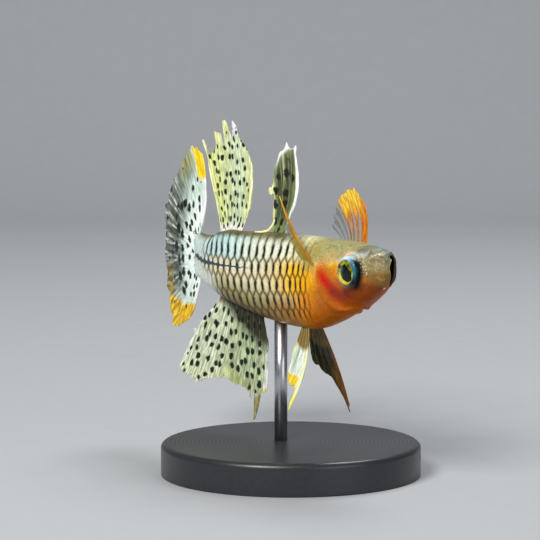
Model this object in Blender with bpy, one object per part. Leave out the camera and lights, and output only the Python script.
"""A life-size still model of a male spotted blue-eye on a small display stand.

The row frame is metres with +Z up. The fish swims towards +X, its left side is +Y, and the
origin is the middle of the underside of the stand's base.
"""

import math

import bmesh
import bpy
import numpy as np

MM = 0.001
UP = np.array([0.0, 0.0, 1.0])

# Driving sizes
STANDARD_LENGTH = 30 * MM  # snout tip to the end of the tail stalk
BODY_HEIGHT = 19.5 * MM  # the mouth's level above the floor
GAP = 0.3 * MM  # kept between neighbouring pieces

# The swimming bend, in degrees seen from above, and where along the body it happens
SWIM_YAW = 8.0
HEAD_TURN = 17.0
TAIL_TURN = 18.0
HEAD_BEND = (0.10, 0.42)
TAIL_BEND = (0.62, 0.95)

# Body profile, in shares of the standard length:
# distance behind the snout tip, top of the back, bottom of the belly, half width
PROFILE = np.array([
    (0.000, 0.059, 0.014, 0.007),
    (0.008, 0.074, -0.002, 0.023),
    (0.030, 0.083, -0.033, 0.040),
    (0.060, 0.088, -0.055, 0.053),
    (0.100, 0.090, -0.076, 0.064),
    (0.150, 0.092, -0.101, 0.073),
    (0.200, 0.093, -0.121, 0.079),
    (0.280, 0.093, -0.157, 0.084),
    (0.360, 0.093, -0.185, 0.085),
    (0.450, 0.094, -0.189, 0.081),
    (0.550, 0.093, -0.182, 0.072),
    (0.650, 0.089, -0.167, 0.060),
    (0.750, 0.082, -0.146, 0.048),
    (0.850, 0.073, -0.126, 0.036),
    (0.930, 0.067, -0.105, 0.026),
    (1.000, 0.063, -0.089, 0.016),
])
WIDEST_LEVEL = 0.55  # how far up a section its widest level lies
SECTION_POWER = 2.2  # 2 is an ellipse, more is squarer
AROUND = 36  # points round each section
TURN = np.linspace(0, 2 * math.pi, AROUND, endpoint=False)

# Where the head, torso and tail stalk part, in shares of the standard length
GILL_TOP, GILL_SIDE, GILL_UNDER = 0.235, 0.285, 0.200
GILL_FLARE = 0.16 * MM  # how far the gill cover's rear edge stands out
STALK_START = 0.80
GAP_SHARE = GAP / STANDARD_LENGTH

# Mouth, jaw and nostrils: (distance behind the snout tip, level), in shares of the standard length
MOUTH_FRONT = (-0.030, 0.065)
MOUTH_CORNER = (0.034, 0.036)
JAW_HEEL = (0.078, -0.110)
BELOW_CHIN = (-0.060, -0.220)
LIP_HEIGHT = 0.17 * MM
LIP_REACH = 0.32 * MM
JAW_CUT_REACH = 6 * MM
NOSTRIL_AT = (0.050, 0.072)
NOSTRIL_RADIUS = 0.17 * MM

# Eyes
EYE_AT = (0.112, 0.016)
EYE_RADIUS = 1.33 * MM
EYE_HALF_THICKNESS = 0.75 * MM
EYE_SIDE = 1.72 * MM  # from the middle of the head to the middle of the eyeball
EYE_FORWARD = 12.0  # degrees that the eyes turn towards the snout

# Fins
MEMBRANE = 0.48 * MM
RAY_RIDGE = 0.13 * MM  # how far each ray stands out of the membrane, on each face
TIP_SHARE = 0.45  # thickness left at a fin's edge
TAPER_START = 0.6  # share of a ray's length where its fin begins to thin
WEB_OFFSET = 0.22  # from a ray's crest to the flat web beside it, in ray spacings
ROWS = 8  # steps from a fin's base to its edge

# Stand
BASE_RADIUS = 12 * MM
BASE_THICKNESS = 3 * MM
BASE_BEVEL = 0.5 * MM
BASE_FACETS = 48
ROD_RADIUS = 0.6 * MM
ROD_SINK = 1.0 * MM  # how far the rod runs into the belly before it is cut off at the gap
ROD_AT = 0.545  # below this place along the body


def clear_scene():
    for obj in list(bpy.data.objects):
        bpy.data.objects.remove(obj)


def material(name, colour, roughness):
    made = bpy.data.materials.new(name)
    made.use_nodes = True
    shader = made.node_tree.nodes["Principled BSDF"]
    shader.inputs["Base Color"].default_value = (*colour, 1)
    shader.inputs["Roughness"].default_value = roughness
    return made


def smooth_step(x, start, end):
    t = np.clip((np.asarray(x, float) - start) / (end - start), 0, 1)
    return t * t * (3 - 2 * t)


def curve_through(knots, values, x):
    """A smooth curve through (knots, values), with the slope at each knot taken from its neighbours."""
    slopes = np.gradient(values, knots, axis=0)
    i = np.clip(np.searchsorted(knots, x) - 1, 0, len(knots) - 2)
    step = knots[i + 1] - knots[i]
    t = (x - knots[i]) / step
    if values.ndim > 1:
        step, t = step[:, None], t[:, None]
    return (
        (2 * t**3 - 3 * t**2 + 1) * values[i]
        + (t**3 - 2 * t**2 + t) * step * slopes[i]
        + (3 * t**2 - 2 * t**3) * values[i + 1]
        + (t**3 - t**2) * step * slopes[i + 1]
    )


def heading(s):
    """The body's direction at s, in radians from +X."""
    head = HEAD_TURN * (1 - smooth_step(s, *HEAD_BEND))
    tail = TAIL_TURN * smooth_step(s, *TAIL_BEND)
    return np.radians(SWIM_YAW - head - tail)


def forward(s):
    turn = heading(s)
    return np.stack([np.cos(turn), np.sin(turn), 0 * turn], -1)


def leftward(s):
    turn = heading(s)
    return np.stack([-np.sin(turn), np.cos(turn), 0 * turn], -1)


SPINE_STEPS = np.linspace(-0.02, 1.1, 1121)


def spine_line():
    """Points of the body's middle line, with the middle of the fish above the middle of the base."""
    way = forward(SPINE_STEPS)
    strides = (way[1:] + way[:-1]) / 2 * np.diff(SPINE_STEPS)[:, None] * STANDARD_LENGTH
    line = -np.concatenate([np.zeros((1, 3)), np.cumsum(strides, axis=0)])
    return line - line[np.argmin(abs(SPINE_STEPS - 0.5))] + BODY_HEIGHT * UP


SPINE = spine_line()


def spine(s):
    s = np.asarray(s, float)
    return np.stack([np.interp(s, SPINE_STEPS, SPINE[:, axis]) for axis in range(3)], -1)


def profile(s, column):
    knots = PROFILE[:, 0]
    return STANDARD_LENGTH * curve_through(knots, PROFILE[:, column], np.clip(s, 0, 1))


def back_level(s):
    return profile(s, 1)


def belly_level(s):
    return profile(s, 2)


def lip_rise(s, level):
    """How far the lips stand out at a place seen from the side: a low ridge along the mouth's line."""
    place = np.stack([np.asarray(s, float), level / STANDARD_LENGTH], -1)
    start, end = np.array(MOUTH_FRONT), np.array(MOUTH_CORNER)
    run = end - start
    along = np.clip((place - start) @ run / (run @ run), 0, 1)
    away = np.linalg.norm(place - start - along[..., None] * run, axis=-1) * STANDARD_LENGTH
    return LIP_HEIGHT * np.exp(-((away / LIP_REACH) ** 2))


def skin_point(s, angle, grow=0.0):
    """A point of the skin. angle runs from the back (0) down the fish's right side to the belly (pi)."""
    s, angle = np.broadcast_arrays(np.asarray(s, float), angle)
    top, bottom = back_level(s) + grow, belly_level(s) - grow
    half_width = profile(s, 3) + grow
    middle = bottom + WIDEST_LEVEL * (top - bottom)
    rise, side = np.cos(angle), np.sin(angle)
    height = np.where(rise >= 0, top - middle, middle - bottom)
    level = middle + height * np.sign(rise) * abs(rise) ** (2 / SECTION_POWER)
    out = half_width * np.sign(side) * abs(side) ** (2 / SECTION_POWER)
    lips = 1 + lip_rise(s, level) / np.maximum(half_width, 0.3 * MM)
    level = middle + (level - middle) * lips
    return spine(s) - leftward(s) * (out * lips)[..., None] + UP * level[..., None]


def gill_edge(angle):
    """Where the gill cover ends: furthest back at the flank, furthest forward under the throat."""
    mean, half = (GILL_TOP + GILL_UNDER) / 2, (GILL_TOP - GILL_UNDER) / 2
    return mean + half * np.cos(angle) + (GILL_SIDE - mean) * np.sin(angle) ** 2


def mesh_object(name, points, faces, finish=None):
    """One closed mesh, shaded smooth, with its faces turned outwards."""
    mesh = bpy.data.meshes.new(name)
    mesh.from_pydata([tuple(p) for p in points], [], [tuple(f) for f in faces])
    shape = bmesh.new()
    shape.from_mesh(mesh)
    bmesh.ops.recalc_face_normals(shape, faces=shape.faces)
    if shape.calc_volume(signed=True) < 0:
        bmesh.ops.reverse_faces(shape, faces=shape.faces)
    shape.to_mesh(mesh)
    shape.free()
    mesh.shade_smooth()
    mesh.set_sharp_from_angle(angle=math.radians(40))
    obj = bpy.data.objects.new(name, mesh)
    bpy.context.scene.collection.objects.link(obj)
    if finish:
        mesh.materials.append(finish)
    return obj


def tube(name, rings, front, rear, finish=None):
    """A closed skin over a row of rings, closed by a fan to a point at each end."""
    count, around = rings.shape[:2]
    points = np.concatenate([rings.reshape(-1, 3), [front, rear]])
    faces = []
    for r in range(count - 1):
        for k in range(around):
            a, b = r * around + k, r * around + (k + 1) % around
            faces += [(a, b, b + around), (a, b + around, a + around)]
    last = (count - 1) * around
    for k in range(around):
        after = (k + 1) % around
        faces += [(count * around, after, k), (count * around + 1, last + k, last + after)]
    return mesh_object(name, points, faces, finish)


def body_piece(name, first, last, steps, finish, flare=0.0):
    """A length of the body between two places along it, each given for every angle of TURN."""
    below_nape = 0.5 - 0.5 * np.cos(TURN)
    rings = []
    for share in steps:
        s = first + (last - first) * share
        grow = flare * below_nape * smooth_step(s, last - 0.05, last - 0.012)
        rings.append(skin_point(s, TURN, grow))
    return tube(name, np.array(rings), body_middle(first.mean()), body_middle(last.mean()), finish)


def body_middle(s):
    return spine(s) + UP * (back_level(s) + belly_level(s)) / 2


def everywhere(s):
    return np.full(AROUND, s)


def room_round_body():
    """The whole body grown by the gap, as a cutter for what grows out of it."""
    rings = [skin_point(everywhere(s), TURN, GAP) for s in np.linspace(0, 1, 41)]
    front, rear = spine(-GAP_SHARE), spine(1 + GAP_SHARE)
    return as_cutter(tube("room_round_body", np.array(rings), front, rear))


def as_cutter(obj):
    obj.hide_render = True
    obj.display_type = "WIRE"
    return obj


def cut(obj, cutter, operation="DIFFERENCE"):
    step = obj.modifiers.new(cutter.name, "BOOLEAN")
    step.operation = operation
    step.solver = "EXACT"
    step.object = cutter


def jaw_block(name, grow):
    """A wedge through the head below the mouth's line and ahead of the jaw's heel."""
    corners = np.array([MOUTH_FRONT, MOUTH_CORNER, JAW_HEEL, BELOW_CHIN])
    slope = np.array(MOUTH_CORNER) - np.array(MOUTH_FRONT)
    above = np.array([-slope[1], slope[0]]) / np.linalg.norm(slope) * grow
    heel = np.array([grow, 0])
    corners[0] += above
    corners[1] += above + heel
    corners[2] += heel
    side = leftward(0.0) * JAW_CUT_REACH
    flat = [spine(0.0) - forward(0.0) * s * STANDARD_LENGTH + UP * z * STANDARD_LENGTH
            for s, z in corners]
    points = [p - side for p in flat] + [p + side for p in flat]
    faces = [(0, 1, 2, 3), (7, 6, 5, 4)]
    faces += [(k, (k + 1) % 4 + 4, (k + 1) % 4) for k in range(4)]
    faces += [(k, k + 4, (k + 1) % 4 + 4) for k in range(4)]
    return as_cutter(mesh_object(name, points, faces))


def ball(name, centre, axis, radius, half_thickness, finish=None, rings=10, around=20):
    """A flattened ball whose short axis is axis."""
    axis = axis / np.linalg.norm(axis)
    across = np.cross(axis, (0.3, 0.1, 1.0) if abs(axis[2]) < 0.9 else (1.0, 0.0, 0.0))
    across = across / np.linalg.norm(across)
    lift = np.cross(axis, across)
    turn = np.linspace(0, 2 * math.pi, around, endpoint=False)
    rows = []
    for tilt in np.linspace(0, math.pi, rings + 2)[1:-1]:
        spoke = np.outer(np.cos(turn), across) + np.outer(np.sin(turn), lift)
        rows.append(centre + axis * half_thickness * math.cos(tilt) + spoke * radius * math.sin(tilt))
    ends = centre + axis * half_thickness, centre - axis * half_thickness
    return tube(name, np.array(rows), ends[0], ends[1], finish)


def eye_axis(side):
    turn = math.radians(EYE_FORWARD)
    return leftward(EYE_AT[0]) * side * math.cos(turn) + forward(EYE_AT[0]) * math.sin(turn)


def eye_centre(side):
    s, level = EYE_AT
    return spine(s) + leftward(s) * side * EYE_SIDE + UP * level * STANDARD_LENGTH


def nostril_place(side):
    """On the top of the snout, where the skin has the nostril's level."""
    s, level = NOSTRIL_AT
    angle = np.linspace(0, math.pi / 2, 200)
    ring = skin_point(np.full_like(angle, s), angle)
    nearest = np.argmin(abs(ring[:, 2] - BODY_HEIGHT - level * STANDARD_LENGTH))
    place = ring[nearest] - spine(s)
    out = place @ leftward(s)
    return spine(s) + place - leftward(s) * out + leftward(s) * abs(out) * side


def fin_grid(bases, tips, bows, notch, filaments):
    """A fin's middle surface, and which columns are rays. Each ray's crest has web at both sides."""
    rays = len(bases)
    columns = []
    for i in range(rays):
        columns.append((float(i), 1 + filaments.get(i, 0.0)))
        if i < rays - 1:
            columns += [(i + WEB_OFFSET, 1 - notch), (i + 1 - WEB_OFFSET, 1 - notch)]
    place = np.array([u for u, _ in columns])
    reach = np.array([r for _, r in columns])
    rows = np.linspace(0, 1, ROWS + 1)
    index = np.arange(rays)

    def along(values):
        return np.stack([np.interp(place, index, values[:, axis]) for axis in range(3)], -1)

    base, tip, bow = along(bases), along(tips), along(bows)
    share = rows[None, :] * reach[:, None]
    sway = 4 * np.minimum(share, 1) * (1 - np.minimum(share, 1))
    middle = (
        base[:, None]
        + (tip - base)[:, None] * share[..., None]
        + bow[:, None] * sway[..., None]
    )
    return middle, place == np.round(place)


def thick_sheet(name, middle, thickness, finish):
    """A closed sheet round a grid of points, with both faces split into triangles alike."""
    along_u = np.gradient(middle, axis=0)
    along_v = np.gradient(middle, axis=1)
    normal = np.cross(along_u, along_v)
    normal /= np.linalg.norm(normal, axis=-1, keepdims=True)
    spread = smooth_step(np.linspace(0, 1, middle.shape[1]), 0, 0.6)[:, None]
    normal = normal.mean(axis=0) * (1 - spread) + normal * spread
    normal /= np.linalg.norm(normal, axis=-1, keepdims=True)
    offset = normal * thickness[..., None] / 2
    columns, rows = middle.shape[:2]
    points = np.concatenate([(middle + offset).reshape(-1, 3), (middle - offset).reshape(-1, 3)])
    number = np.arange(columns * rows).reshape(columns, rows)
    under = columns * rows
    faces = []
    for i in range(columns - 1):
        for j in range(rows - 1):
            a, b = number[i, j], number[i + 1, j]
            c, d = number[i + 1, j + 1], number[i, j + 1]
            faces += [(a, b, c), (a, c, d)]
            faces += [(c + under, b + under, a + under), (d + under, c + under, a + under)]
    rim = [*number[:, 0], *number[-1, 1:], *number[-2::-1, -1], *number[0, -2:0:-1]]
    for k, a in enumerate(rim):
        b = rim[(k + 1) % len(rim)]
        faces += [(b, a, a + under), (b, a + under, b + under)]
    return mesh_object(name, points, faces, finish)


def fin(name, bases, tips, bows, finish, notch=0.0, filaments=None, wave=0.0):
    """A fin with raised rays. wave bends its edge from side to side once across its width."""
    middle, is_ray = fin_grid(bases, tips, bows, notch, filaments or {})
    columns, rows = middle.shape[:2]
    share = np.linspace(0, 1, rows)[None, :]
    across = np.linspace(0, 1, columns)[:, None]
    side = np.cross(tips[0] - bases[0], tips[-1] - bases[0])
    side /= np.linalg.norm(side)
    middle = middle + side * (wave * share**2 * np.sin(2 * math.pi * across))[..., None]
    crest = 2 * RAY_RIDGE * is_ray[:, None]
    thickness = (MEMBRANE + crest) * (1 - (1 - TIP_SHARE) * smooth_step(share, TAPER_START, 1))
    return thick_sheet(name, middle, thickness, finish)


def median_fin(name, bases, centre, tips, bows, finish, **more):
    """A fin on the body's middle line. tips holds each ray's end as (back, up) from the spine at centre."""
    tips = np.array(tips) * MM
    ends = spine(centre) - np.outer(tips[:, 0], forward(centre)) + np.outer(tips[:, 1], UP)
    bow = np.interp(np.linspace(0, 1, len(tips)), np.linspace(0, 1, len(bows)), bows) * MM
    fin(name, bases, ends, np.outer(bow, forward(centre)), finish, **more)


def base_line(level, start, end, rays):
    """Places along the back or the belly, clear of it by the gap."""
    s = np.linspace(start, end, rays)
    outward = math.copysign(1, float(np.mean(level(s))))
    return spine(s) + UP * (level(s) + outward * GAP)[:, None]


def dorsal_fins(finish):
    median_fin(
        "fin_dorsal_front", base_line(back_level, 0.526, 0.594, 5), 0.55,
        [(-2.2, 10.7), (-1.2, 10.6), (-0.1, 9.9), (0.7, 8.3), (1.5, 6.6)],
        (0.75, 0.3), finish, notch=0.05, filaments={1: 0.04},
    )
    median_fin(
        "fin_dorsal_rear", base_line(back_level, 0.715, 0.838, 8), 0.70,
        [(-0.5, 10.2), (0.5, 11.0), (1.4, 11.5), (2.2, 11.3), (3.1, 11.0), (4.3, 10.3),
         (4.9, 9.6), (5.8, 9.2)],
        (0.5, 0.1), finish, notch=0.05, filaments={2: 0.15, 4: 0.20, 5: 0.12, 7: 0.18},
        wave=0.15 * MM,
    )


def anal_fin(finish):
    median_fin(
        "fin_anal", base_line(belly_level, 0.612, 0.880, 11), 0.66,
        [(-1.4, -12.0), (0.1, -12.5), (1.0, -12.9), (2.1, -12.4), (3.2, -11.7), (4.3, -11.2),
         (5.6, -11.5), (7.0, -11.8), (8.5, -12.1), (9.8, -11.9), (10.6, -11.3)],
        (0.25, 0.1), finish, notch=0.04, filaments={1: 0.33, 2: 0.06}, wave=0.2 * MM,
    )


def caudal_fin(finish):
    """The tail fin, spread so wide that its outer rays stand straight up and down."""
    rays = 14
    levels = np.linspace(0.056, -0.082, rays) * STANDARD_LENGTH
    bases = spine(1.0 + GAP_SHARE) + UP * levels[:, None]
    tips = [(0.2, 9.8), (1.6, 9.9), (2.9, 9.5), (4.4, 8.1), (6.0, 6.5), (7.5, 5.0), (8.4, 2.8),
            (8.9, 0.6), (8.9, -1.6), (8.6, -3.9), (8.1, -6.1), (7.0, -8.0), (5.1, -7.9), (3.4, -7.4)]
    bows = (1.5, 0.5, 0.0, 0.0, 0.0, 0.3, 0.8)
    median_fin("fin_caudal", bases, 1.0, tips, bows, finish, notch=0.03, wave=0.2 * MM)


def paired_fin(name, side, root, tips, bow, rays, finish, room, **more):
    """A fin on one side of the body, with places given as (back, out, up) from its root's middle."""
    s, angle = root["at"]
    middle = skin_point(s, angle)
    out = (middle - spine(s)) @ leftward(s)
    middle = middle - leftward(s) * out + leftward(s) * abs(out) * side
    axes = np.array([-forward(s), leftward(s) * side, UP])

    def placed(points, count):
        knots = np.linspace(0, 1, len(points))
        return middle + curve_through(knots, np.array(points) * MM, np.linspace(0, 1, count)) @ axes

    bases = placed(root["line"], rays)
    edge = placed(tips, rays)
    bows = np.repeat(np.array([bow]) * MM @ axes, rays, axis=0)
    made = fin(name, bases, edge, bows, finish, **more)
    cut(made, room)
    return made


def paired_fins(finish, room):
    """The breast fins are raised, the left one held further out, and the belly fins hang spread."""
    shoulder = {"at": (0.325, 1.22), "line": [(-0.7, -0.5, -0.5), (0.7, -0.7, -0.2)]}
    raised = [(2.4, 1.1, 5.2), (3.4, 0.8, 6.1), (4.1, 0.1, 5.7), (4.3, -0.4, 4.9),
              (4.3, -0.9, 3.8), (4.1, -1.3, 2.6)]
    turned_out = [(back - 0.6, out + 1.9, up + 0.3) for back, out, up in raised]
    hip = {"at": (0.412, 2.97), "line": [(-0.4, 0.1, 0.6), (0.5, -0.05, 0.6)]}
    hanging = [(-1.0, 3.0, -6.7), (-0.5, 2.7, -6.0), (0.1, 2.1, -4.9), (0.7, 1.5, -3.8),
               (1.2, 0.9, -2.6)]
    for side, word, spread, arch in ((1, "left", turned_out, 1.1), (-1, "right", raised, 0.3)):
        paired_fin(f"fin_pectoral_{word}", side, shoulder, spread, (0, arch, 0), 8, finish, room,
                   notch=0.05)
        paired_fin(f"fin_pelvic_{word}", side, hip, hanging, (0, -0.1, 0), 5, finish, room,
                   notch=0.04, filaments={0: 0.12})


def body(finish):
    """Head, torso and tail stalk, parted along the gill cover's edge and across the stalk."""
    gill = gill_edge(TURN)
    stalk = everywhere(STALK_START)
    even = np.linspace(0, 1, 15)
    body_piece("torso", gill + GAP_SHARE, stalk, even, finish)
    body_piece("tail_stalk", stalk + GAP_SHARE, everywhere(1.0), even[::2], finish)
    snout_steps = np.linspace(0, 1, 25) ** 1.3
    return body_piece("head", everywhere(0.0), gill, snout_steps, finish, flare=GILL_FLARE)


def head_details(head, iris):
    """Parts the lower jaw from the head, sinks the eyes into it and opens the nostrils."""
    jaw = bpy.data.objects.new("jaw", head.data.copy())
    bpy.context.scene.collection.objects.link(jaw)
    cut(jaw, jaw_block("jaw_wedge", 0.0), "INTERSECT")
    cut(head, jaw_block("jaw_room", GAP_SHARE))
    for side, word in ((1, "left"), (-1, "right")):
        centre, axis = eye_centre(side), eye_axis(side)
        ball(f"eye_{word}", centre, axis, EYE_RADIUS, EYE_HALF_THICKNESS, iris)
        socket = ball(f"socket_{word}", centre, axis, EYE_RADIUS + GAP, EYE_HALF_THICKNESS + GAP)
        cut(head, as_cutter(socket))
        nostril = ball(f"nostril_{word}", nostril_place(side), UP, NOSTRIL_RADIUS,
                       2 * NOSTRIL_RADIUS, rings=4, around=8)
        cut(head, as_cutter(nostril))


def stand(room, plastic, steel):
    """A round base and one rod up to the belly."""
    turn = np.linspace(0, 2 * math.pi, BASE_FACETS, endpoint=False)
    circle = np.stack([np.cos(turn), np.sin(turn), 0 * turn], -1)
    top = BASE_THICKNESS
    rings = [circle * BASE_RADIUS + UP * level for level in (0.0, top - BASE_BEVEL)]
    rings.append(circle * (BASE_RADIUS - BASE_BEVEL) + UP * top)
    tube("stand_base", np.array(rings), 0 * UP, UP * top, plastic)
    foot = spine(ROD_AT) * (1, 1, 0) + UP * (top + GAP)
    head = spine(ROD_AT) + UP * (belly_level(ROD_AT) + ROD_SINK)
    ring = circle[::3] * ROD_RADIUS
    rod = tube("stand_rod", np.array([ring + foot, ring + head]), foot, head, steel)
    cut(rod, room)


def build():
    clear_scene()
    skin = material("skin", (0.55, 0.50, 0.32), 0.35)
    webbing = material("fin_membrane", (0.62, 0.66, 0.38), 0.4)
    iris = material("eye", (0.05, 0.12, 0.16), 0.1)
    plastic = material("stand_plastic", (0.03, 0.03, 0.035), 0.35)
    steel = material("stand_steel", (0.6, 0.6, 0.6), 0.3)
    room = room_round_body()
    head = body(skin)
    head_details(head, iris)
    dorsal_fins(webbing)
    anal_fin(webbing)
    caudal_fin(webbing)
    paired_fins(webbing, room)
    stand(room, plastic, steel)


build()
